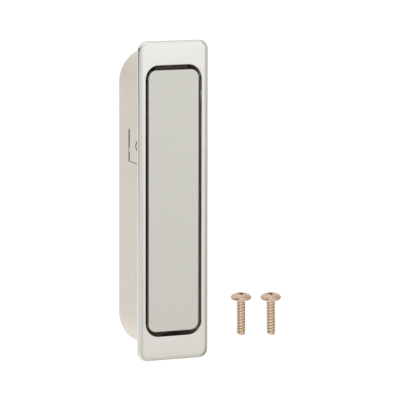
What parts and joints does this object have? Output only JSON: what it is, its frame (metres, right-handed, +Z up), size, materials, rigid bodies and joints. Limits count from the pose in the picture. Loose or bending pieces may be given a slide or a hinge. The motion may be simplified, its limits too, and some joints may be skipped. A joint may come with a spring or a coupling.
{
  "type": "sash lift handle",
  "caption": "Flush sash handle: a brushed pivoting plate in a long rounded faceplate over a deep round-ended cup; pressing one end swings the other out to pull.",
  "frame": {"origin": "centre of the cup's flat back, which rests on the bottom of the mortise", "axes": "+Z up along the faceplate, -Y out of the sash towards the hand, +Y into the sash, +X to the right seen from the front"},
  "size_m": [0.0884, 0.027, 0.1524],
  "materials": {
    "polished_nickel": "polished nickel plate",
    "satin_nickel": "satin nickel plate, a little warmer",
    "brushed_nickel": "nickel plate brushed along its length",
    "blackened_zinc": "dark zinc casting",
    "bronze": "plain bronze",
    "steel": "zinc plated",
    "spring_steel": "drawn wire",
    "rubber": "matt black",
    "champagne_plate": "pale bronze-toned plate on steel"
  },
  "bodies": {
    "body": {"faceplate": "polished_nickel", "housing": "satin_nickel", "pivot_plate_left": "satin_nickel", "pivot_plate_right": "satin_nickel", "pivot_pin": "bronze", "torsion_spring_left": "spring_steel", "torsion_spring_right": "spring_steel", "open_stop_pad": "rubber", "faceplate_rivet_1": "steel", "faceplate_rivet_2": "steel", "faceplate_rivet_3": "steel", "faceplate_rivet_4": "steel", "mounting_insert_1": "steel", "mounting_insert_2": "steel", "mounting_screw_1": "champagne_plate", "mounting_screw_2": "champagne_plate"},
    "handle": {"handle_plate": "brushed_nickel", "handle_carrier": "blackened_zinc", "pivot_bush_left": "steel", "pivot_bush_right": "steel", "carrier_screw_1": "steel", "carrier_screw_2": "steel", "carrier_screw_3": "steel", "carrier_screw_4": "steel", "closed_stop_pad": "rubber"}
  },
  "joints": [
    {"name": "handle_swing", "type": "hinge", "parent": "body", "child": "handle", "pos_m": [0, -0.0204, 0.0261], "axis": [-1, 0, 0], "range_deg": [0, 28], "stiffness_Nm_per_rad": 0.15, "springref_deg": -20.05, "deforming": ["torsion_spring_left", "torsion_spring_right"]}
  ]
}
